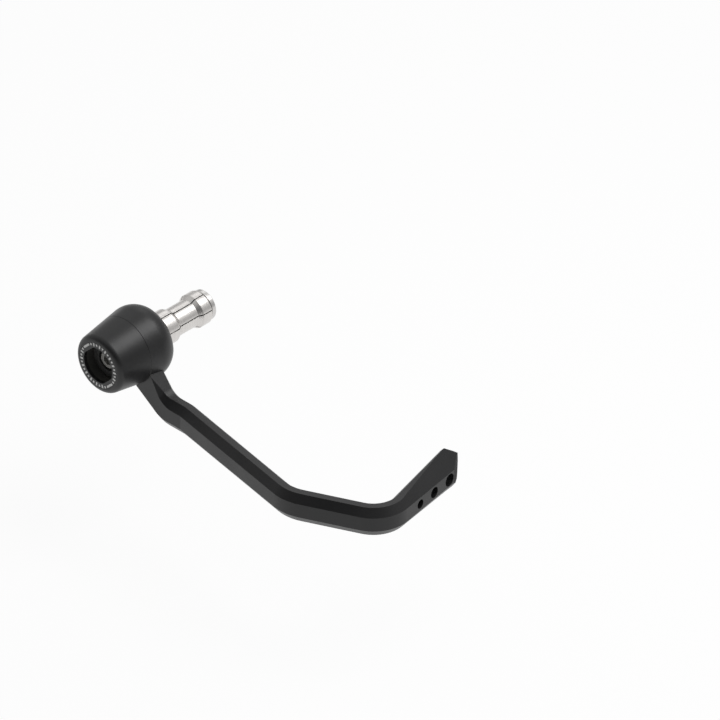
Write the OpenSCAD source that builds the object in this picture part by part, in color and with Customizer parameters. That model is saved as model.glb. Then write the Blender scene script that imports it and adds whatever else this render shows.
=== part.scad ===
// Bar-end brake lever guard: a bobbin clamped on the bar end by an expander, and a bent guard arm.
// X runs inboard along the handlebar, -Y is forward and Z is up.
// The origin is on the bar axis, on the flange face that the bar end butts against.

/* [Bobbin] */
// Length of the bobbin along the bar axis
bobbin_len = 36.4; // [35:0.1:44]
// Radius of the bobbin cone at its outboard face
bobbin_r_front = 15.7; // [15.4:0.1:18]
// Radius of the bobbin cone where it would meet the inboard face
bobbin_r_back = 20.9; // [19.5:0.1:24]
// Rounding of the outboard rim
rim_round_front = 3.2; // [1:0.1:3.2]
// Rounding of the inboard end
rim_round_back = 11.3; // [9:0.1:14]
// Distance of that rounding's centre from the inboard face
back_round_at = 7.6; // [6:0.1:8.5]
// Depth of the groove where the two shells part
part_groove = 0.15; // [0.1:0.05:0.5]

/* [Face ring] */
// Thickness of the marked ring set in the outboard face
ring_t = 2; // [1:0.1:3]
// Outer radius of the ring
ring_r = 12.75; // [12.4:0.05:13]
// Radius of the round part of the double-D opening
mouth_r = 9.9; // [9.6:0.05:10.6]
// Distance from the bar axis to each flat of the double-D opening
mouth_flat = 9.1; // [8.8:0.05:9.4]

/* [Arm section] */
// Thickness of the arm, from the hand side to the outer side
arm_w = 8.6; // [7:0.1:10]
// Height of the arm along its level runs
arm_h = 16.5; // [14:0.1:18]
// Width and height of the two chamfers on the hand side
chamfer_in = 1.65; // [0.8:0.05:2]
// Width of the two big chamfers on the outer side
chamfer_out_w = 3.2; // [2:0.1:4]
// Height of the two big chamfers on the outer side
chamfer_out_h = 4.3; // [3:0.1:5]

/* [Arm route] */
// Angle below forward at which the arm leaves the bobbin
drop_angle = 45; // [35:1:55]
// Height of the arm across its drop
drop_h = 14.6; // [13:0.1:15.8]
// Depth of the arm's middle below the bar axis along the level runs
arm_drop = 25.2; // [22:0.1:30]
// Inside and outside radius of the bend from the drop to the level run
drop_bend_top = 9; // [5:0.5:12]
// Outside radius of that bend, along the arm's underside
drop_bend_bottom = 16; // [6:0.5:18]
// Distance forward of the bar axis at which the arm turns outboard
kick_at = 39.3; // [38:0.1:46]
// Angle outboard of the long run
long_angle = 10; // [5:0.1:15]
// Length of the long run
long_len = 87.3; // [60:0.1:110]
// Angle inboard of the front run
front_angle = 25; // [15:0.1:35]
// Length of the front run
front_len = 46.8; // [35:0.1:60]
// Angle of the tip run, measured inboard from forward
tip_angle = 100; // [85:0.5:110]
// Length of the tip run
tip_len = 59.2; // [55:0.1:75]
// Hand-side radius of the kick
kick_r = 14; // [12:1:28]
// Hand-side radius of the bend between the long and front runs
bend_r = 18; // [10:1:28]
// Hand-side radius of the bend before the tip run
tip_bend_r = 12; // [6:0.5:14]

/* [Arm tip] */
// Angle at which the top edge rises along the tip run
tip_rise = 7.4; // [2:0.1:9]
// Angle at which the underside falls along the tip run
tip_fall = 6.5; // [2:0.1:9]
// Length of the chamfer on the top corner of the end
tip_top_cut = 8.2; // [6:0.1:10]
// Angle of that chamfer below the run
tip_top_angle = 38; // [30:1:50]
// Length of the facets on the outer corner of the end
tip_side_cut = 9.2; // [7:0.1:10]
// Direction that those facets face, from the run towards the outer side
tip_side_turn = 65; // [58:1:70]
// Angle at which the upper facet looks up
tip_lean_up = 1; // [0:1:8]
// Angle at which the lower facet looks down
tip_lean_down = 2; // [0:1:10]
// Angle at which the corner under those facets tucks in
tip_tuck = 30; // [20:1:40]
// Depth of that corner below the arm's middle
tip_tuck_at = 7.2; // [6:0.1:9]
// Radius of the bottom corner of the end
tip_bottom_r = 9.8; // [6:0.1:10.5]
// Diameters of the three holes, from the bend to the end
hole_d = [5, 6, 7];
// Distance of the last hole from the end
hole_end = 13.2; // [12:0.1:16]
// Distances between neighbouring holes
hole_step = [12.1, 13.2];

/* [Clamp core] */
// Bolt diameter
bolt_d = 6; // [5:1:6]
// Bolt length under the head
bolt_len = 60; // [58:1:61]
// Diameter of the bolt head
head_d = 10; // [9:0.1:10.5]
// Height of the bolt head
head_h = 6; // [5:0.1:6.5]
// Hexagon key size across flats
hex_af = 5; // [4:0.5:6]
// Depth of the hexagon socket
hex_depth = 3; // [2:0.1:4]
// Depth of the bolt head below the outboard face
head_sink = 6.6; // [5:0.1:8]
// Thickness of the washer under the bolt head
washer_t = 1.6; // [1:0.1:2]
// Outer diameter of that washer
washer_d = 12; // [11.2:0.1:13]
// Floor thickness of the key cup under the washer
cup_floor = 2; // [1.5:0.1:3]
// Outer diameter of the core sleeve
sleeve_d = 14; // [12:0.1:15]
// Diameter of the flange that the bar end butts against
flange_d = 24.7; // [22:0.1:26]
// Thickness of that flange
flange_t = 3; // [2:0.1:4]
// Outer diameter of the eye at the arm's root
eye_d = 27; // [24:0.1:28]

/* [Expander] */
// Number of jaws
jaw_n = 6; // [6:6]
// Radius of the jaws' lands, which grip the bar
land_r = 9.05; // [8.5:0.05:9.5]
// Radius of the jaws' waist
waist_r = 7.45; // [7:0.05:7.8]
// Gap between neighbouring jaws
jaw_gap = 0.8; // [0.5:0.1:1.2]
// Angle of the first gap between jaws, from forward towards up
jaw_turn = 15; // [0:5:55]
// Length of the hub that stands proud of the flange
hub_len = 1.9; // [0.8:0.1:2.5]
// Room for the rubber ring between the hub and the jaws
ring_room = 3.1; // [2.6:0.1:3.6]
// Length of the root land
root_land = 7.3; // [5:0.1:8]
// Length of each cone between a land and the waist
ramp_len = 2.4; // [1.5:0.1:3]
// Length of the waist
waist_len = 12.4; // [8:0.1:12.8]
// Length of the tip land
tip_land = 6.1; // [5:0.1:8]
// Gap between the jaws and the rim of the tip nut
nut_gap = 0.5; // [0.3:0.1:1]
// Thickness of the tip nut's rim
nut_rim = 2.9; // [2:0.1:4]
// Radius of the tip nut's rim
nut_r = 8.2; // [7.8:0.05:8.4]
// Large radius of the two wedge cones
cone_r = 6.3; // [6:0.05:6.6]
// Small radius of the two wedge cones
cone_tip_r = 4.6; // [4.2:0.05:4.8]
// Length of each wedge cone inside the jaws
cone_len = 8; // [6:0.1:9]
// Thickness of the rubber ring
rubber_d = 2; // [1.6:0.1:2.2]

/* [Clearances] */
// Radial clearance of sliding fits
fit = 0.1; // [0.05:0.01:0.15]
// Clearance round the arm's root in the bobbin
slot_gap = 0.3; // [0.2:0.05:0.5]
// Axial clearance behind the arm's eye
seat_gap = 0.05; // [0.02:0.01:0.15]
// Clearance between the key cup and its double-D pocket
key_gap = 0.3; // [0.2:0.05:0.4]
// Radial clearance of the bolt in its passage
bolt_gap = 0.3; // [0.2:0.05:0.4]

/* [Hidden] */
fine = 96;
over = 1;
thin = 0.12;

// Stations along the bar axis
face_x = -bobbin_len;
head_x = face_x + head_sink;
seat_x = head_x + head_h + washer_t;
cup_end_x = seat_x + cup_floor;
arm_in_x = -8.6;
arm_out_x = arm_in_x - arm_w;
jaw_x = hub_len + ring_room;
jaw_end_x = jaw_x + root_land + waist_len + tip_land + 2 * ramp_len;
nut_x = jaw_end_x + nut_gap;

// Plan directions: heading is measured inboard from forward, x inboard and f forward
function ahead(h) = [sin(h), cos(h)];
function right(h) = [cos(h), -sin(h)];
function bend_tangent(r, turn) = r * tan(abs(turn) / 2);

kick_pt = [arm_in_x, kick_at];
front_pt = kick_pt + long_len * ahead(-long_angle);
tip_pt = front_pt + front_len * ahead(front_angle);
top_z = -arm_drop + arm_h / 2;
bottom_z = -arm_drop - arm_h / 2;

// One ring of the arm: hand-side top and bottom points, heading, and the chamfers there
// [top, bottom, heading, inner chamfer, outer top width, height, outer bottom width, height]
function ring(top, bottom, h, ci, tw, th, bw, bh) = [top, bottom, h, ci, tw, th, bw, bh];

// Drop: two lines at the drop angle, each rounded into its level edge
drop_dir = [cos(drop_angle), -sin(drop_angle)];
drop_up = [sin(drop_angle), cos(drop_angle)];
top_corner = [27.3 - (45 - drop_angle) * 0.2, top_z];
bottom_corner = top_corner - [(drop_h - arm_h * cos(drop_angle)) / sin(drop_angle), arm_h];
surface_r = 19.4;
function on_drop(corner, r) = corner - drop_dir * (corner * drop_dir - r);
function drop_arc(corner, r, a) =
    corner - drop_dir * r * tan(drop_angle / 2) + r * drop_up + r * [sin(a), -cos(a)];
function drop_ring(t, b, k) = ring(
    [arm_in_x, t[0], t[1]], [arm_in_x, b[0], b[1]], 0,
    thin + (chamfer_in - thin) * k, thin + (chamfer_out_w - thin) * k,
    thin + (chamfer_out_h - thin) * k, thin + (chamfer_out_w - thin) * k,
    thin + (chamfer_out_h - thin) * k);
drop_steps = 8;
straight_len = (top_corner - on_drop(top_corner, surface_r)) * drop_dir;
arc_share = 0.7;
drop_rings = concat(
    [for (r = [6, surface_r - 1]) drop_ring(on_drop(top_corner, r), on_drop(bottom_corner, r), 0)],
    [for (i = [0:drop_steps])
        let (a = -drop_angle * (1 - i / drop_steps), k = arc_share + (1 - arc_share) * i / drop_steps)
        drop_ring(drop_arc(top_corner, drop_bend_top, a), drop_arc(bottom_corner, drop_bend_bottom, a), k)]);

// Level runs: the hand-side line turned through each bend
function bend_at(pt, h0, h1, r, i, n) =
    let (turn = h1 - h0, h = h0 + turn * i / n, s = turn > 0 ? r : -r)
    let (start = pt - bend_tangent(r, turn) * ahead(h0))
    let (p = start + s * (right(h0) - right(h)))
    [p[0], p[1], h];
function level_ring(p) = ring(
    [p[0], p[1], top_z], [p[0], p[1], bottom_z], p[2],
    chamfer_in, chamfer_out_w, chamfer_out_h, chamfer_out_w, chamfer_out_h);
function bend_rings(pt, h0, h1, r, n) = [for (i = [0:n]) level_ring(bend_at(pt, h0, h1, r, i, n))];

// Tip run: the section flares and its outer slopes keep their pitch until they take up its width
flat_w = arm_w - chamfer_in - chamfer_out_w - thin;
slope_pitch = chamfer_out_h / chamfer_out_w;
tip_tangent = bend_tangent(tip_bend_r, tip_angle - front_angle);
function flare(t, angle) = max(0, t - tip_tangent) * tan(angle);
function slope_w(grow) = chamfer_out_w + min(flat_w, grow / slope_pitch);
function full_at(angle) = tip_tangent + flat_w * slope_pitch / tan(angle);
function tip_ring(p, t) =
    let (rise = flare(t, tip_rise), fall = flare(t, tip_fall))
    ring([p[0], p[1], top_z + rise], [p[0], p[1], bottom_z - fall], p[2],
        chamfer_in, slope_w(rise), chamfer_out_h + rise, slope_w(fall), chamfer_out_h + fall);
tip_steps = 12;
tip_bend_rings = [for (i = [0:tip_steps])
    tip_ring(bend_at(tip_pt, front_angle, tip_angle, tip_bend_r, i, tip_steps),
        tip_tangent * (2 * i / tip_steps - 1))];
tip_stops = [for (angle = [max(tip_rise, tip_fall), min(tip_rise, tip_fall)])
    if (full_at(angle) < tip_len) full_at(angle)];
tip_run_rings = [for (t = concat(tip_stops, [tip_len + over]))
    let (p = tip_pt + t * ahead(tip_angle)) tip_ring([p[0], p[1], tip_angle], t)];
arm_rings = concat(
    drop_rings,
    bend_rings(kick_pt, 0, -long_angle, kick_r, 4),
    bend_rings(front_pt, -long_angle, front_angle, bend_r, 8),
    tip_bend_rings, tip_run_rings);

// The eight corners of a ring, and the swept skin
function ring_points(q) =
    let (top = q[0], bottom = q[1], o = -right(q[2]), up = (top - bottom) / norm(top - bottom))
    let (out = [o[0], o[1], 0])
    [for (p = [
        top - up * q[3], top + out * q[3], top + out * (arm_w - q[4]), top + out * arm_w - up * q[5],
        bottom + out * arm_w + up * q[7], bottom + out * (arm_w - q[6]), bottom + out * q[3],
        bottom + up * q[3]
    ]) [p[0], -p[1], p[2]]];
module swept_arm() {
    sides = 8;
    last = len(arm_rings) - 1;
    points = [for (q = arm_rings) each ring_points(q)];
    skin = [for (i = [0:last - 1]) for (j = [0:sides - 1])
        let (a = i * sides + j, b = i * sides + (j + 1) % sides)
        each [[a, b + sides, b], [a, a + sides, b + sides]]];
    caps = [[for (j = [0:sides - 1]) j], [for (j = [sides - 1:-1:0]) last * sides + j]];
    polyhedron(points = points, faces = concat(skin, caps), convexity = 8);
}

// Places its children on the tip run: x along the run, y towards the outer side
module on_tip() {
    translate([tip_pt[0], -tip_pt[1], 0]) rotate([0, 0, tip_angle - 90]) mirror([0, 1, 0]) children();
}

// A solid of revolution about the bar axis, from points [radius, x]
module turned(points) {
    rotate([0, 90, 0]) rotate_extrude($fn = fine) polygon(points);
}
module rod(d, x0, x1) {
    translate([x0, 0, 0]) rotate([0, 90, 0]) cylinder(d = d, h = x1 - x0, $fn = fine);
}

// Double-D outline; the flats lie across the arm's drop
module double_d(r, flat, x0, x1) {
    translate([x0, 0, 0]) intersection() {
        rod(2 * r, 0, x1 - x0);
        rotate([drop_angle, 0, 0]) translate([-over, -flat, -2 * r])
            cube([x1 - x0 + 2 * over, 2 * flat, 4 * r]);
    }
}

// Radius of the bobbin cone at a station
cone_slope = (bobbin_r_back - bobbin_r_front) / bobbin_len;
cone_tilt = atan(cone_slope);
function bobbin_r(x) = bobbin_r_back + cone_slope * x;
function front_arc(a) =
    let (r = rim_round_front, cx = face_x + r, cr = bobbin_r(cx) - r / cos(cone_tilt))
    [cr + r * sin(a), cx - r * cos(a)];
function back_arc(a) =
    let (r = rim_round_back, cx = -back_round_at, cr = bobbin_r(cx) - r / cos(cone_tilt))
    [cr + r * sin(a), cx - r * cos(a)];
back_edge = 0.35;
back_start = 90 - cone_tilt;
back_end = 90 + asin((back_round_at - back_edge) / rim_round_back);
back_steps = 14;
front_steps = 10;
front_pts = [for (i = [0:front_steps]) front_arc((90 - cone_tilt) * i / front_steps)];
back_pts = [for (i = [0:back_steps]) back_arc(back_start + (back_end - back_start) * i / back_steps)];
back_r = back_pts[back_steps][0];

module bobbin_blank() {
    turned(concat([[0, face_x]], front_pts, back_pts,
        [[back_r - back_edge, -back_edge / 5], [back_r - 2 * back_edge, 0], [0, 0]]));
}
// Small groove that the two shells leave where they part
module parting_groove() {
    r = bobbin_r(arm_out_x);
    turned([[r - part_groove, arm_out_x], [r + over, arm_out_x - over - part_groove],
        [r + over, arm_out_x + over + part_groove]]);
}
module slab(x0, x1) {
    translate([x0, -2 * bobbin_r_back, -2 * bobbin_r_back])
        cube([x1 - x0, 4 * bobbin_r_back, 4 * bobbin_r_back]);
}

module bobbin_outer() {
    color("#2b2b2c") difference() {
        intersection() {
            bobbin_blank();
            slab(face_x - over, arm_out_x);
        }
        parting_groove();
        rod(2 * (ring_r + fit), face_x - over, face_x + ring_t);
        double_d(mouth_r, mouth_flat, face_x, cup_end_x);
        rod(sleeve_d + 2 * fit, face_x, over);
    }
}

module bobbin_inner() {
    slot_h = drop_h + 2 * slot_gap;
    mid = (on_drop(top_corner, 0) + on_drop(bottom_corner, 0)) / 2 * drop_up;
    color("#2b2b2c") difference() {
        intersection() {
            bobbin_blank();
            slab(arm_out_x, over);
        }
        parting_groove();
        rod(eye_d + 2 * slot_gap, arm_out_x - over, arm_in_x + seat_gap);
        translate([arm_out_x - over, 0, 0]) rotate([drop_angle, 0, 0])
            translate([0, -2 * bobbin_r_back, mid - slot_h / 2])
                cube([arm_w + slot_gap + over, 2 * bobbin_r_back - eye_d / 3, slot_h]);
        rod(sleeve_d + 2 * fit, arm_out_x, over);
        rod(flange_d + 2 * fit, -flange_t, over);
    }
}

module face_ring() {
    color("#1f1f20") difference() {
        rod(2 * ring_r, face_x, face_x + ring_t);
        double_d(mouth_r, mouth_flat, face_x - over, face_x + ring_t + over);
    }
}

module key_cup() {
    color("#56585a") difference() {
        double_d(mouth_r - key_gap, mouth_flat - key_gap, head_x, cup_end_x);
        rod(washer_d + 2 * fit, head_x - over, seat_x);
        rod(bolt_d + 2 * bolt_gap, head_x, cup_end_x + over);
    }
}

module core_sleeve() {
    color("#c9c9c7") difference() {
        union() {
            rod(sleeve_d, cup_end_x, -over);
            rod(flange_d, -flange_t, 0);
            rod(2 * (land_r - fit), -over, hub_len);
        }
        rod(bolt_d + 2 * bolt_gap, cup_end_x - over, hub_len + over);
    }
}

module clamp_bolt() {
    head_chamfer = 0.6;
    color("#8f9193") difference() {
        union() {
            turned([[0, head_x], [head_d / 2 - head_chamfer, head_x], [head_d / 2, head_x + head_chamfer],
                [head_d / 2, head_x + head_h], [0, head_x + head_h]]);
            rod(bolt_d, head_x + head_h - over, head_x + head_h + bolt_len);
        }
        translate([head_x - over, 0, 0]) rotate([0, 90, 0])
            cylinder(d = hex_af / cos(30), h = hex_depth + over, $fn = 6);
    }
}

module bolt_washer() {
    color("#b4b4b2") difference() {
        rod(washer_d, seat_x - washer_t, seat_x);
        rod(bolt_d + 2 * bolt_gap, seat_x - washer_t - over, seat_x + over);
    }
}

// Wedge cone in the jaws' root, with a collar that carries the rubber ring
module root_cone() {
    color("#bdbdbb") difference() {
        turned([[0, hub_len], [cone_r, hub_len], [cone_r, jaw_x], [cone_tip_r, jaw_x + cone_len],
            [0, jaw_x + cone_len]]);
        rod(bolt_d + 2 * fit, hub_len - over, jaw_x + cone_len + over);
    }
}

module rubber_ring() {
    color("#1a1a1a") rotate([0, 90, 0]) translate([0, 0, hub_len + ring_room / 2])
        rotate_extrude($fn = fine) translate([cone_r + rubber_d / 2, 0]) circle(d = rubber_d, $fn = 32);
}

// Round nut with a wedge cone; the bolt's end shows in its countersunk hole
module tip_nut() {
    sink = 1.2;
    edge = 0.5;
    color("#c6c4c2") difference() {
        turned([[0, jaw_end_x - cone_len], [cone_tip_r, jaw_end_x - cone_len], [cone_r, jaw_end_x],
            [cone_r, nut_x], [nut_r - edge / 2, nut_x], [nut_r, nut_x + edge / 2],
            [nut_r, nut_x + nut_rim - edge], [nut_r - edge, nut_x + nut_rim], [0, nut_x + nut_rim]]);
        rod(bolt_d + 2 * fit, jaw_end_x - cone_len - over, nut_x + nut_rim + over);
        turned([[0, nut_x + nut_rim - sink], [bolt_d / 2 + fit, nut_x + nut_rim - sink],
            [bolt_d / 2 + fit + sink + over, nut_x + nut_rim + over], [0, nut_x + nut_rim + over]]);
    }
}

// Jaw outline: land, ramp, waist, ramp, land outside, and a wedge seat at each end inside
module jaw_ring() {
    edge = 0.6;
    waist_x = jaw_x + root_land + ramp_len;
    bore = cone_tip_r + fit;
    turned([
        [cone_r + fit, jaw_x], [land_r - edge, jaw_x], [land_r, jaw_x + edge], [land_r, jaw_x + root_land],
        [waist_r, waist_x], [waist_r, waist_x + waist_len], [land_r, waist_x + waist_len + ramp_len],
        [land_r, jaw_end_x - edge], [land_r - edge, jaw_end_x], [cone_r + fit, jaw_end_x],
        [bore, jaw_end_x - cone_len], [bore, jaw_x + cone_len]
    ]);
}
module jaw(i) {
    step = 360 / jaw_n;
    reach = 2 * land_r;
    a = jaw_turn + step * (i - 1);
    color("#cfcdca") intersection() {
        jaw_ring();
        translate([jaw_x - over, 0, 0]) rotate([90, 0, 90])
            rotate([0, 0, 180 - a - step / 2]) linear_extrude(height = jaw_end_x - jaw_x + 2 * over)
                polygon([[jaw_gap, 0], [reach * cos(step / 2), reach * sin(step / 2)],
                    [reach * cos(step / 2), -reach * sin(step / 2)]]);
    }
}

module guard_arm() {
    tip_top = top_z + flare(tip_len - tip_top_cut, tip_rise);
    tip_low = bottom_z - flare(tip_len - tip_bottom_r / 2, tip_fall);
    tall = 3 * arm_h;
    color("#333334") difference() {
        union() {
            swept_arm();
            rod(eye_d, arm_out_x, arm_in_x);
        }
        rod(sleeve_d + 2 * fit, arm_out_x - over, arm_in_x + over);
        on_tip() {
            // The three holes
            for (i = [0:2])
                translate([
                    tip_len - hole_end - (i < 2 ? hole_step[1] : 0) - (i < 1 ? hole_step[0] : 0),
                    -over, -arm_drop])
                    rotate([-90, 0, 0]) cylinder(d = hole_d[i], h = arm_w + 2 * over, $fn = 64);
            // Square end
            translate([tip_len, -arm_w, -arm_drop - tall / 2]) cube([2 * arm_w, 3 * arm_w, tall]);
            // Chamfer on the top corner
            translate([tip_len - tip_top_cut, 0, tip_top]) rotate([0, tip_top_angle, 0])
                translate([-tall, -2 * arm_w, 0]) cube([2 * tall, 5 * arm_w, tall]);
            // The hand-side chamfer carried along that cut and down the end
            translate([tip_len - tip_top_cut, chamfer_in, tip_top])
                rotate([0, tip_top_angle, 0]) rotate([45, 0, 0])
                    translate([-tall, -tall, 0]) cube([2 * tall, 2 * tall, tall]);
            translate([tip_len, chamfer_in, 0]) rotate([0, 0, -45])
                translate([0, -tall, -2 * tall]) cube([tall, 2 * tall, 2 * tall]);
            // Facets on the outer corner: one looks up, one looks down and one tucks in below
            for (cut = [[-tip_lean_up, chamfer_out_h * 0.6], [tip_lean_down, chamfer_out_h * 0.6],
                [tip_tuck, -tip_tuck_at]])
                translate([tip_len - tip_side_cut, arm_w, -arm_drop + cut[1]])
                    rotate([0, 0, tip_side_turn]) rotate([0, cut[0], 0])
                        translate([0, -tall, -tall]) cube([tall, 2 * tall, 2 * tall]);
            // Rounded bottom corner, with the hand-side chamfer round it
            translate([tip_len - tip_bottom_r, 0, tip_low + tip_bottom_r]) rotate([-90, 0, 0])
                difference() {
                    translate([0, 0, -arm_w]) cube([2 * tip_bottom_r, 2 * tip_bottom_r, 3 * arm_w]);
                    translate([0, 0, -over]) cylinder(
                        r1 = tip_bottom_r - chamfer_in - over, r2 = tip_bottom_r,
                        h = chamfer_in + over, $fn = 64);
                    translate([0, 0, chamfer_in]) cylinder(r = tip_bottom_r, h = 3 * arm_w, $fn = 64);
                }
        }
    }
}

guard_arm();
bobbin_outer();
bobbin_inner();
face_ring();
key_cup();
core_sleeve();
clamp_bolt();
bolt_washer();
root_cone();
rubber_ring();
tip_nut();
jaw(1);  // jaw_1
jaw(2);  // jaw_2
jaw(3);  // jaw_3
jaw(4);  // jaw_4
jaw(5);  // jaw_5
jaw(6);  // jaw_6
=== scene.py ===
import math

import bpy
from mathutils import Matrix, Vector


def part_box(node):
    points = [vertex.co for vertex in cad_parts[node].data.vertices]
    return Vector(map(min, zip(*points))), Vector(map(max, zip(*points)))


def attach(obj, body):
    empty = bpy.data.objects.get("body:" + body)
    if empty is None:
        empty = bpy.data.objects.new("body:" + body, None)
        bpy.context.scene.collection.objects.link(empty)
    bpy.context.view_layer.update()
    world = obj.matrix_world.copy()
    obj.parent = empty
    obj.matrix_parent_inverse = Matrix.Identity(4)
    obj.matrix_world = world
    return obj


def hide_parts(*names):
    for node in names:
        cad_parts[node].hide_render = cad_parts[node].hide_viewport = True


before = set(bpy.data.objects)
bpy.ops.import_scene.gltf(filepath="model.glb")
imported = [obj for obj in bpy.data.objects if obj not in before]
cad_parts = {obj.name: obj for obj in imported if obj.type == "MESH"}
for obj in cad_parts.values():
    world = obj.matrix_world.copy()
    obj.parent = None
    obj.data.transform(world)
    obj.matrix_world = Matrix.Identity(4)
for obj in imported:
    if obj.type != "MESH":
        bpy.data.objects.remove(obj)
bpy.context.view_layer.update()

# Lengths are in metres: +X runs inboard along the bar axis, +Z up, and -Y forward along the arm
MM = 0.001


# Colour and node helpers

def hex_rgb(code):
    """An sRGB hex colour as linear RGBA."""
    linear = []
    for start in (1, 3, 5):
        v = int(code[start:start + 2], 16) / 255
        linear.append(v / 12.92 if v <= 0.04045 else ((v + 0.055) / 1.055) ** 2.4)
    return (*linear, 1.0)


def feed(tree, node, inputs):
    """Sets a node's inputs to values, or links them from sockets or from other nodes' first outputs."""
    for key, value in inputs.items():
        if isinstance(value, bpy.types.Node):
            value = value.outputs[0]
        if isinstance(value, bpy.types.NodeSocket):
            tree.links.new(value, node.inputs[key])
        else:
            node.inputs[key].default_value = value


def add(tree, kind, place, inputs=None, **settings):
    """Adds one node at its place, with its settings and inputs."""
    node = tree.nodes.new(kind)
    node.location = place
    for key, value in settings.items():
        setattr(node, key, value)
    feed(tree, node, inputs or {})
    return node


def new_material(name):
    """A node material with only its shader and its output."""
    mat = bpy.data.materials.new(name)
    mat.use_nodes = True
    tree = mat.node_tree
    tree.nodes.clear()
    shader = add(tree, "ShaderNodeBsdfPrincipled", (0, 0))
    add(tree, "ShaderNodeOutputMaterial", (300, 0), {"Surface": shader})
    return mat, tree, shader


def stops(ramp_node, *pairs):
    """Sets a colour ramp's stops from (position, hex colour) pairs, two or more."""
    elements = ramp_node.color_ramp.elements
    while len(elements) < len(pairs):
        elements.new(0.5)
    for element, (position, code) in zip(elements, pairs):
        element.position = position
        element.color = hex_rgb(code)
    return ramp_node


def axis_radius(tree, at, place):
    """A point split into its coordinates, and its distance from the bar axis."""
    column, row = place
    split = add(tree, "ShaderNodeSeparateXYZ", place, {"Vector": at})
    flat = add(tree, "ShaderNodeCombineXYZ", (column + 180, row),
               {"Y": split.outputs["Y"], "Z": split.outputs["Z"]})
    length = add(tree, "ShaderNodeVectorMath", (column + 360, row), {0: flat}, operation="LENGTH")
    return split, length.outputs["Value"]


# Materials

def moulded_nylon(name, dark, light, rough, gloss):
    """Glass-filled nylon from a satin-eroded mould: a fine even grain that breaks up the highlight."""
    mat, tree, shader = new_material(name)
    at = add(tree, "ShaderNodeTexCoord", (-1000, 0)).outputs["Object"]
    # The eroded grain is about 0.25 mm in the real mould, drawn at 0.4 mm so that it shows
    grain = add(tree, "ShaderNodeTexNoise", (-800, -200),
                {"Vector": at, "Scale": 2500.0, "Detail": 3.0, "Roughness": 0.6})
    # Slow cloudiness, 20 mm across, where the melt flowed and hands have rubbed
    cloud = add(tree, "ShaderNodeTexNoise", (-800, 200), {"Vector": at, "Scale": 50.0, "Detail": 5.0})
    tone = stops(add(tree, "ShaderNodeValToRGB", (-500, 200), {"Fac": cloud}), (0.35, dark), (0.7, light))
    spread = add(tree, "ShaderNodeMapRange", (-500, -50),
                 {"Value": cloud, "From Min": 0.3, "From Max": 0.7,
                  "To Min": rough - 0.04, "To Max": rough + 0.05})
    bump = add(tree, "ShaderNodeBump", (-300, -300),
               {"Height": grain, "Strength": 0.35, "Distance": 0.04 * MM})
    feed(tree, shader, {"IOR": 1.53, "Specular IOR Level": gloss,
                        "Base Color": tone, "Roughness": spread, "Normal": bump})
    return mat, tree, shader, tone, at


def turned_metal(name, dark, light, rough, pitch, depth):
    """Lathe-turned aluminium: fine rings that follow the tool and streak the highlight across."""
    mat, tree, shader = new_material(name)
    at = add(tree, "ShaderNodeTexCoord", (-1600, 0)).outputs["Object"]
    split, radius = axis_radius(tree, at, (-1400, -100))
    # Rings run with the tool: they change along the axis on a barrel and along the radius on a face.
    # A tool's feed marks are typically 0.1 mm apart, and the pitch is drawn wider so that they show.
    walk = add(tree, "ShaderNodeCombineXYZ", (-850, -100), {"X": split.outputs["X"], "Y": radius})
    rings = add(tree, "ShaderNodeTexNoise", (-650, -100),
                {"Vector": walk, "Scale": 1 / pitch, "Detail": 2.0})
    # Handling leaves the bright metal a little dull in patches some 6 mm across
    film = add(tree, "ShaderNodeTexNoise", (-650, 200), {"Vector": at, "Scale": 160.0, "Detail": 4.0})
    bump = add(tree, "ShaderNodeBump", (-300, -300),
               {"Height": rings, "Strength": 0.5, "Distance": depth})
    spread = add(tree, "ShaderNodeMapRange", (-400, -50),
                 {"Value": film, "From Min": 0.3, "From Max": 0.7,
                  "To Min": rough - 0.03, "To Max": rough + 0.05})
    tone = stops(add(tree, "ShaderNodeValToRGB", (-400, 250), {"Fac": rings}), (0.3, dark), (0.7, light))
    feed(tree, shader, {"Metallic": 1.0, "Base Color": tone, "Roughness": spread, "Normal": bump})
    return mat


def flake_coat(name):
    """Zinc flake coating on the screw and its washer: matte silver grey, a little mottled."""
    mat, tree, shader = new_material(name)
    at = add(tree, "ShaderNodeTexCoord", (-800, 0)).outputs["Object"]
    # The flakes lie in patches about 0.5 mm across
    flakes = add(tree, "ShaderNodeTexNoise", (-600, 0), {"Vector": at, "Scale": 2000.0, "Detail": 3.0})
    tone = stops(add(tree, "ShaderNodeValToRGB", (-350, 0), {"Fac": flakes}),
                 (0.3, "#8c8b87"), (0.7, "#a9a8a4"))
    bump = add(tree, "ShaderNodeBump", (-300, -300),
               {"Height": flakes, "Strength": 0.3, "Distance": 0.03 * MM})
    feed(tree, shader, {"Metallic": 0.4, "Roughness": 0.5, "Base Color": tone, "Normal": bump})
    return mat


def sawn_metal_and_shade(name):
    """The slit faces, dull and torn as the saw left them, and dark grey partly for that finish and partly as
    painted shade.
    """
    mat, tree, shader = new_material(name)
    at = add(tree, "ShaderNodeTexCoord", (-900, 0)).outputs["Object"]
    # The teeth tear the metal into grains about 0.4 mm across
    torn = add(tree, "ShaderNodeTexNoise", (-700, 0), {"Vector": at, "Scale": 2500.0, "Detail": 2.0})
    # These greys are dark partly for the dull sawn finish and partly as painted shade in the narrow slits
    tone = stops(add(tree, "ShaderNodeValToRGB", (-450, 100), {"Fac": torn}),
                 (0.3, "#4e4b48"), (0.7, "#6a6663"))
    bump = add(tree, "ShaderNodeBump", (-300, -200),
               {"Height": torn, "Strength": 0.5, "Distance": 0.03 * MM})
    feed(tree, shader, {"Metallic": 1.0, "Roughness": 0.55, "Base Color": tone, "Normal": bump})
    return mat


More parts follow.
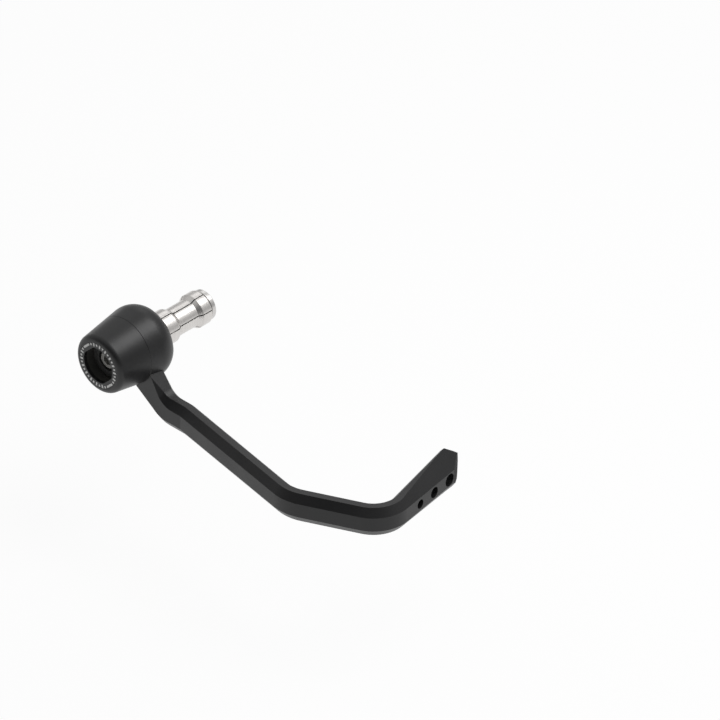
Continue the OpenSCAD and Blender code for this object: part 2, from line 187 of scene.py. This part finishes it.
def plain_rubber(name):
    """Moulded nitrile rubber: dull black with a faint bloom, in patches about 1.7 mm across."""
    mat, tree, shader = new_material(name)
    at = add(tree, "ShaderNodeTexCoord", (-800, 0)).outputs["Object"]
    bloom = add(tree, "ShaderNodeTexNoise", (-600, 0), {"Vector": at, "Scale": 600.0, "Detail": 3.0})
    tone = stops(add(tree, "ShaderNodeValToRGB", (-350, 0), {"Fac": bloom}),
                 (0.3, "#0e0e0e"), (0.75, "#1b1b1b"))
    feed(tree, shader, {"Roughness": 0.75, "Base Color": tone})
    return mat


def bored_nylon(name, bore):
    """The outboard shell: black outside, and paler grey inside the bore radius."""
    mat, tree, shader, tone, at = moulded_nylon(name, "#161617", "#1b1b1c", rough=0.39, gloss=0.42)
    radius = axis_radius(tree, at, (-1400, 600))[1]
    inside = add(tree, "ShaderNodeMath", (-800, 600), {0: radius, 1: bore}, operation="LESS_THAN")
    # Milling tears the bore's wall into a mottle about 0.6 mm across
    torn = add(tree, "ShaderNodeTexNoise", (-800, 450), {"Vector": at, "Scale": 1600.0, "Detail": 2.0})
    bore_tone = stops(add(tree, "ShaderNodeValToRGB", (-500, 450), {"Fac": torn}),
                (0.3, "#3a3937"), (0.7, "#444340"))
    blend = add(tree, "ShaderNodeMix", (-200, 400), {"Factor": inside, 6: tone, 7: bore_tone}, data_type="RGBA")
    feed(tree, shader, {"Base Color": blend.outputs[2]})
    return mat


def marked_ring(name, face_x):
    """The moulded ring with its pad-printed scale: plain ticks round the ring and a bar at each flat."""
    mat, tree, shader, tone, at = moulded_nylon(name, "#161617", "#1b1b1c", rough=0.42, gloss=0.45)
    split, radius = axis_radius(tree, at, (-2400, 700))
    up = split.outputs["Z"]
    forward = add(tree, "ShaderNodeMath", (-2200, 500),
                  {0: split.outputs["Y"], 1: -1.0}, operation="MULTIPLY")
    turn = add(tree, "ShaderNodeMath", (-2000, 300), {0: up, 1: forward}, operation="ARCTAN2")

    # Distances across the flats and along them, which lie 45 degrees to the level
    distances = []
    for operation, row in (("SUBTRACT", 600), ("ADD", 450)):
        mixed = add(tree, "ShaderNodeMath", (-2000, row), {0: up, 1: forward}, operation=operation)
        mixed = add(tree, "ShaderNodeMath", (-1800, row),
                    {0: mixed, 1: math.sqrt(0.5)}, operation="MULTIPLY")
        distances.append(add(tree, "ShaderNodeMath", (-1600, row), {0: mixed}, operation="ABSOLUTE"))
    across, along = distances

    # 36 ticks to the turn, 2 mm apart, every second one longer. Each line gives the steps to a turn, the
    # tick's middle and half width as parts of a step, its middle radius and half length, and the row
    # that its nodes stand in.
    ticks = []
    for steps, middle, half_width, mid_radius, half_length, row in (
            (36, 0.5, 0.24, 11.75 * MM, 0.6 * MM, 300),
            (18, 0.25, 0.12, 11.6 * MM, 0.95 * MM, 100)):
        part = add(tree, "ShaderNodeMath", (-1800, row), {0: turn, 1: steps / math.tau}, operation="MULTIPLY")
        part = add(tree, "ShaderNodeMath", (-1600, row), {0: part}, operation="FRACT")
        part = add(tree, "ShaderNodeMath", (-1400, row),
                   {0: part, 1: middle, 2: half_width}, operation="COMPARE")
        reach = add(tree, "ShaderNodeMath", (-1400, row - 100),
                    {0: radius, 1: mid_radius, 2: half_length}, operation="COMPARE")
        ticks.append(add(tree, "ShaderNodeMath", (-1200, row), {0: part, 1: reach}, operation="MULTIPLY"))
    tick = add(tree, "ShaderNodeMath", (-1000, 200), {0: ticks[0], 1: ticks[1]}, operation="MAXIMUM")

    # No tick stands beside a bar, which is within 0.29 of the radius along a flat
    beside = add(tree, "ShaderNodeMath", (-1400, 500), {0: along, 1: radius}, operation="DIVIDE")
    beside = add(tree, "ShaderNodeMath", (-1200, 500), {0: beside, 1: 0.29}, operation="GREATER_THAN")
    tick = add(tree, "ShaderNodeMath", (-800, 300), {0: tick, 1: beside}, operation="MULTIPLY")

    # Each bar is 1.1 mm wide and 5 mm long
    bar_width = add(tree, "ShaderNodeMath", (-1400, 900),
                    {0: across, 1: 11.5 * MM, 2: 0.55 * MM}, operation="COMPARE")
    bar_length = add(tree, "ShaderNodeMath", (-1400, 800),
                     {0: along, 1: 0.0, 2: 2.5 * MM}, operation="COMPARE")
    bar = add(tree, "ShaderNodeMath", (-1200, 900), {0: bar_width, 1: bar_length}, operation="MULTIPLY")

    # Only the outboard face is printed
    on_face = add(tree, "ShaderNodeMath", (-800, 700),
                  {0: split.outputs["X"], 1: face_x, 2: 0.05 * MM}, operation="COMPARE")
    ink = add(tree, "ShaderNodeMath", (-600, 500), {0: tick, 1: bar}, operation="MAXIMUM")
    ink = add(tree, "ShaderNodeMath", (-400, 500), {0: ink, 1: on_face}, operation="MULTIPLY")

    # Thin ink lets a little of the black through where the grain stands up, in specks about 0.3 mm across
    speckle = add(tree, "ShaderNodeTexNoise", (-600, 900), {"Vector": at, "Scale": 3000.0, "Detail": 2.0})
    ink_tone = stops(add(tree, "ShaderNodeValToRGB", (-400, 900), {"Fac": speckle}),
                     (0.3, "#bcbcba"), (0.6, "#dadad8"))
    paint = add(tree, "ShaderNodeMix", (-200, 400), {"Factor": ink, 6: tone, 7: ink_tone}, data_type="RGBA")
    feed(tree, shader, {"Base Color": paint.outputs[2]})
    return mat


arm_nylon = moulded_nylon("moulded_nylon_arm", "#19191a", "#1e1e1f", rough=0.4, gloss=0.4)[0]
# The small facets at the tip are duller than the arm's long faces
tip_nylon = moulded_nylon("dull_nylon_tip_facets", "#19191a", "#1e1e1f", rough=0.75, gloss=0.2)[0]
# The bobbin is taken as turned and then blasted, which leaves the same fine grain
bobbin_nylon = moulded_nylon("turned_nylon_bobbin", "#161617", "#1b1b1c", rough=0.39, gloss=0.42)[0]
cup_nylon = moulded_nylon("moulded_nylon_cup", "#3a3a39", "#434342", rough=0.45, gloss=0.5)[0]
shell_nylon = bored_nylon("bored_nylon_shell", bore=10.1 * MM)
ring_nylon = marked_ring("printed_nylon_ring", face_x=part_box("face_ring")[0].x)
# The slit faces are darker than the jaws partly for their sawn finish and partly as painted shade in the
# slits
slit_metal_and_shade = sawn_metal_and_shade("sawn_aluminium_cuts_and_painted_shade")
jaw_metal = turned_metal("turned_aluminium_jaws", "#cfccc9", "#dedbd8",
                         rough=0.3, pitch=0.3 * MM, depth=0.004 * MM)
flange_metal = turned_metal("turned_aluminium_flange", "#cfcdcb", "#dedcda",
                            rough=0.3, pitch=0.5 * MM, depth=0.02 * MM)
nut_metal = turned_metal("turned_aluminium_nut", "#c6c4c2", "#d8d6d4",
                         rough=0.28, pitch=0.4 * MM, depth=0.01 * MM)
screw_metal = flake_coat("zinc_flake_screw")
ring_rubber = plain_rubber("nitrile_rubber")


# Pieces made from copies of the CAD solids

# Corners this close become one corner, and faces that meet at less than this angle become one face
MERGE_REACH = 0.002 * MM
FLAT_DEGREES = 0.4
# An edge sharper than this stays a crease in the shading
CREASE_DEGREES = 32
JAW_COUNT = 6
# The least that a lathe-turned face's normal keeps, squared, in the plane through the bar axis
TURNED_LEAST = 0.995
# The most that a sawn face's normal may point outward and along the bar axis
SAWN_OUTWARD = 0.45
SAWN_AXIAL = 0.3
# The tip's facets lie this near the arm's inboard end, and their normals are at least this level
TIP_REACH = 12 * MM
TIP_LEVEL = 0.8
# The facets at the tip's outer corner look forward and inboard, 55 degrees off the bar axis, and the
# cosine says how near to that way a facet's normal has to be
CORNER_DEGREES = -55
CORNER_COSINE = 0.97


def deselect():
    """Clears the selection, because an operator acts on all that is selected."""
    for obj in bpy.context.selected_objects:
        obj.select_set(False)


def softened(node, name, width, angle, segments=2):
    """A copy of a CAD node, its triangles merged into faces and its edges sharper than angle rounded."""
    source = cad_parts[node]
    deselect()
    piece = bpy.data.objects.new(name, source.data.copy())
    bpy.context.scene.collection.objects.link(piece)
    bpy.context.view_layer.objects.active = piece
    piece.select_set(True)
    bpy.ops.object.mode_set(mode="EDIT")
    bpy.ops.mesh.select_all(action="SELECT")
    bpy.ops.mesh.remove_doubles(threshold=MERGE_REACH)
    bpy.ops.mesh.dissolve_limited(angle_limit=math.radians(FLAT_DEGREES))
    bpy.ops.object.mode_set(mode="OBJECT")
    bevel = piece.modifiers.new("edges", "BEVEL")
    bevel.limit_method = "ANGLE"
    bevel.angle_limit = math.radians(angle)
    bevel.width = width
    bevel.segments = segments
    bevel.use_clamp_overlap = True
    bpy.ops.object.modifier_apply(modifier=bevel.name)
    bpy.ops.object.shade_smooth_by_angle(angle=math.radians(CREASE_DEGREES))
    # Wide faces shade flat and only the rounded edges turn
    even = piece.modifiers.new("even", "WEIGHTED_NORMAL")
    even.keep_sharp = True
    bpy.ops.object.modifier_apply(modifier=even.name)
    piece.select_set(False)
    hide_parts(node)
    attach(piece, "root")
    return piece


def dress(obj, *mats):
    """Gives a piece these materials in place of its own."""
    obj.data.materials.clear()
    for mat in mats:
        obj.data.materials.append(mat)


def outward_from_axis(point):
    """The way straight out from the bar axis to a point."""
    return Vector((0, point.y, point.z)).normalized()


def turned_shading(piece):
    """Shades lathe-turned faces round: each corner takes its face's slope, swung round the bar axis."""
    mesh = piece.data
    normals = [corner.vector.copy() for corner in mesh.corner_normals]
    for face in mesh.polygons:
        round_part = face.normal.dot(outward_from_axis(face.center))
        if face.normal.x ** 2 + round_part ** 2 < TURNED_LEAST:
            continue
        for i in face.loop_indices:
            away = outward_from_axis(mesh.vertices[mesh.loops[i].vertex_index].co)
            normals[i] = (Vector((face.normal.x, 0, 0)) + away * round_part).normalized()
    mesh.normals_split_custom_set(normals)


arm = softened("guard_arm", "arm_body", width=0.5 * MM, angle=17, segments=3)
dress(arm, arm_nylon, tip_nylon)
corner_way = Vector((math.cos(math.radians(CORNER_DEGREES)), math.sin(math.radians(CORNER_DEGREES)), 0))
tip_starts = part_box("guard_arm")[1].x - TIP_REACH
for face in arm.data.polygons:
    level = Vector((face.normal.x, face.normal.y, 0))
    at_tip = face.center.x > tip_starts and level.length > TIP_LEVEL
    if at_tip and level.normalized().dot(corner_way) > CORNER_COSINE:
        face.material_index = 1

# The metal pieces and the cup get the small deburred edges that carry their highlights
for i in range(1, JAW_COUNT + 1):
    jaw = softened(f"jaw_{i}", f"jaw_body_{i}", width=0.16 * MM, angle=24)
    turned_shading(jaw)
    # The second material, for the slit faces, is darker partly as painted shade in the narrow slits
    dress(jaw, jaw_metal, slit_metal_and_shade)
    for face in jaw.data.polygons:
        # A sawn face looks along the turn, neither outward nor along the axis
        outward_part = abs(face.normal.dot(outward_from_axis(face.center)))
        if outward_part < SAWN_OUTWARD and abs(face.normal.x) < SAWN_AXIAL:
            face.material_index = 1
for node, name, width, mat in (("core_sleeve", "sleeve_body", 0.2 * MM, flange_metal),
                               ("tip_nut", "nut_body", 0.15 * MM, nut_metal)):
    piece = softened(node, name, width, angle=30)
    turned_shading(piece)
    dress(piece, mat)
dress(softened("clamp_bolt", "screw_body", width=0.15 * MM, angle=30), screw_metal)
dress(softened("key_cup", "cup_body", width=0.2 * MM, angle=30), cup_nylon)

# These solids are shown as they are
finishes = {
    "bobbin_outer": shell_nylon, "bobbin_inner": bobbin_nylon, "face_ring": ring_nylon,
    "bolt_washer": screw_metal, "root_cone": flange_metal, "rubber_ring": ring_rubber,
}
for node, mat in finishes.items():
    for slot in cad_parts[node].material_slots:
        slot.material = mat


# Studio: a pale floor, a room that is pale on one side and dark on the other, and two soft boxes

FLOOR_SIZE = 30
FLOOR_Z = -0.1
# How much of the paper's look to the camera and in reflections is plain white
PAPER_GLOW = 0.9
# How far inboard a direction points is these parts of its X and Y, added up. The room turns from dark
# to pale between the two measures.
INBOARD_X = 0.94
INBOARD_Y = 0.34
ROOM_DARK = -0.8
ROOM_PALE = 0.0

deselect()
bpy.ops.mesh.primitive_plane_add(size=FLOOR_SIZE, location=(0, 0, FLOOR_Z))
floor = bpy.context.object
floor.name = "studio_floor"
floor_mat, tree, shader = new_material("white_studio_paper")
feed(tree, shader, {"Base Color": hex_rgb("#fafafa"), "Roughness": 0.9})
# The paper shows white to the camera and in reflections, and keeps part of the object's shadow
path = add(tree, "ShaderNodeLightPath", (-900, 400))
seen = add(tree, "ShaderNodeMath", (-700, 400),
           {0: path.outputs["Is Camera Ray"], 1: path.outputs["Is Glossy Ray"]}, operation="MAXIMUM")
seen = add(tree, "ShaderNodeMath", (-500, 400),
           {0: seen, 1: path.outputs["Is Transmission Ray"]}, operation="MAXIMUM")
seen = add(tree, "ShaderNodeMath", (-300, 400), {0: seen, 1: PAPER_GLOW}, operation="MULTIPLY")
glow = add(tree, "ShaderNodeEmission", (0, 300), {"Color": hex_rgb("#ffffff"), "Strength": 1.0})
sheet = add(tree, "ShaderNodeMixShader", (300, 200), {0: seen, 1: shader, 2: glow})
feed(tree, tree.nodes["Material Output"], {"Surface": sheet})
dress(floor, floor_mat)

# The room's pale wall is on the inboard side and its dark one outboard, so that edges part from faces
world = bpy.data.worlds.new("studio_surround")
bpy.context.scene.world = world
world.use_nodes = True
tree = world.node_tree
tree.nodes.clear()
way = add(tree, "ShaderNodeTexCoord", (-1100, 0)).outputs["Generated"]
way = add(tree, "ShaderNodeSeparateXYZ", (-900, 0), {"Vector": way})
pale = stops(add(tree, "ShaderNodeValToRGB", (-600, 200), {"Fac": way.outputs["Z"]}),
             (0.0, "#b0b0b0"), (0.2, "#bababa"), (0.5, "#d6d6d6"), (0.8, "#e2e2e2"))
dark = stops(add(tree, "ShaderNodeValToRGB", (-600, -100), {"Fac": way.outputs["Z"]}),
             (0.0, "#707070"), (0.2, "#565656"), (0.6, "#4a4a4a"), (0.9, "#b4b4b4"))
inboard = add(tree, "ShaderNodeMath", (-900, -400), {0: way.outputs["X"], 1: INBOARD_X}, operation="MULTIPLY")
inboard = add(tree, "ShaderNodeMath", (-750, -400),
              {0: way.outputs["Y"], 1: INBOARD_Y, 2: inboard}, operation="MULTIPLY_ADD")
side = add(tree, "ShaderNodeMapRange", (-600, -400),
           {"Value": inboard, "From Min": ROOM_DARK, "From Max": ROOM_PALE})
room = add(tree, "ShaderNodeMix", (-300, 0), {"Factor": side, 6: dark, 7: pale}, data_type="RGBA")
surround = add(tree, "ShaderNodeBackground", (-100, 0), {"Color": room.outputs[2], "Strength": 1.0})
add(tree, "ShaderNodeOutputWorld", (150, 0), {"Surface": surround})

# The lamps look at the middle of the object
middle = Vector((0.0, -0.085, -0.01))


def soft_box(name, toward, far, size, power):
    """A square soft box in a direction from the middle of the object, facing it."""
    lamp = bpy.data.lights.new(name, "AREA")
    lamp.shape = "SQUARE"
    lamp.size = size
    lamp.energy = power
    obj = bpy.data.objects.new(name, lamp)
    bpy.context.scene.collection.objects.link(obj)
    toward = Vector(toward).normalized()
    obj.location = middle + toward * far
    obj.rotation_mode = "QUATERNION"
    obj.rotation_quaternion = (-toward).to_track_quat("-Z", "Y")


soft_box("overhead_box", (0.36, -0.27, 0.89), far=0.8, size=0.48, power=2.8)
soft_box("back_box", (0.6, 0.58, 0.56), far=0.9, size=0.3, power=0.2)


# Camera: isometric, from outboard, in front and above

# How wide a view the picture takes in, and how far off the camera stands, which doesn't change the view
PICTURE_WIDTH = 0.3582
STAND_OFF = 1.5

cam_data = bpy.data.cameras.new("camera")
cam_data.type = "ORTHO"
cam_data.ortho_scale = PICTURE_WIDTH
cam_data.clip_start = 0.01
cam_data.clip_end = 60
camera = bpy.data.objects.new("camera", cam_data)
bpy.context.scene.collection.objects.link(camera)
sight = Vector((1, 1, -1)).normalized()
# The point of the frame that lies in the middle of the photograph
centre = Vector((78.9, -69.0, -19.7)) * MM
camera.location = centre - sight * STAND_OFF
camera.rotation_mode = "QUATERNION"
camera.rotation_quaternion = sight.to_track_quat("-Z", "Y")
bpy.context.scene.camera = camera

bpy.context.scene.view_settings.view_transform = "Standard"
